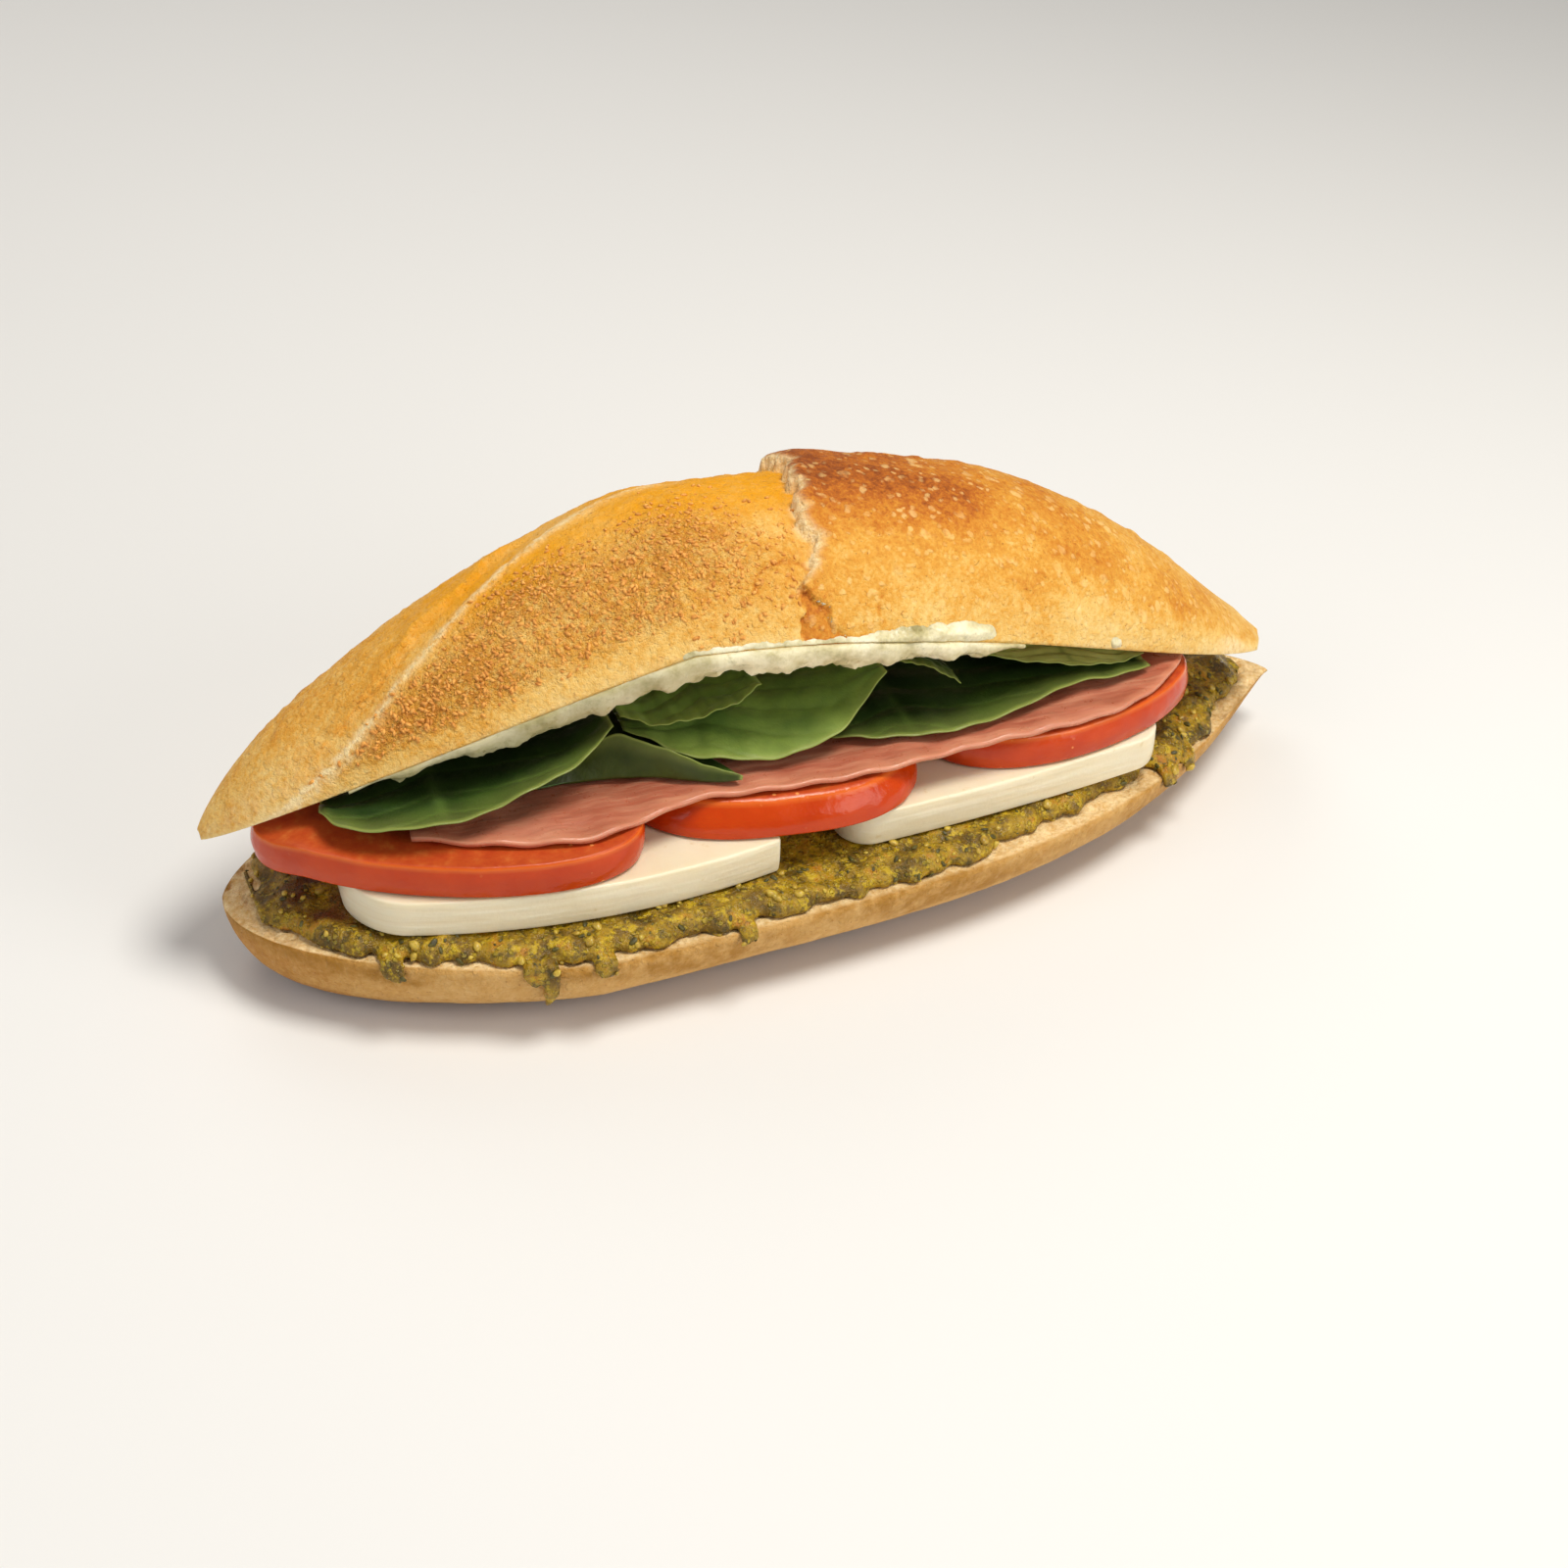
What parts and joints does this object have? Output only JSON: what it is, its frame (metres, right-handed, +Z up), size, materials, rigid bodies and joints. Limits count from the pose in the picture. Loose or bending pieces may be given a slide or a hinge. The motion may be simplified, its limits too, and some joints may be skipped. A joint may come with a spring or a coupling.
{
  "type": "submarine sandwich",
  "caption": "Long split crusty roll filled with green sauce, white cheese slabs, tomato slices, cooked ham, spinach leaves and a pale creamy spread, its crown tipped open towards the front.",
  "frame": {"origin": "centre of the bounding box in plan, on the plane the roll rests on", "axes": "+X along the roll, towards its pointed end; +Y to the back, away from the open side; +Z up"},
  "size_m": [0.262, 0.0956, 0.0906],
  "materials": {
    "crust_heel": "dry pale baked crust",
    "crust_crown": "dry golden baked crust",
    "pesto": "oily coarse green sauce",
    "cheese": "moist smooth cheese",
    "tomato": "wet cut flesh and skin",
    "ham": "moist cured meat",
    "leaf": "satin fresh leaf",
    "cream": "soft creamy spread"
  },
  "bodies": {
    "root": {"bread_bottom": "crust_heel", "pesto": "pesto", "mozzarella_left": "cheese", "mozzarella_right": "cheese", "tomato_left": "tomato", "tomato_middle": "tomato", "tomato_right": "tomato", "ham": "ham", "leaf_left": "leaf", "leaf_fold": "leaf", "leaf_back": "leaf", "leaf_centre": "leaf", "leaf_small": "leaf", "leaf_right": "leaf", "leaf_upper_right": "leaf", "cream": "cream", "bread_top": "crust_crown"}
  },
  "joints": []
}
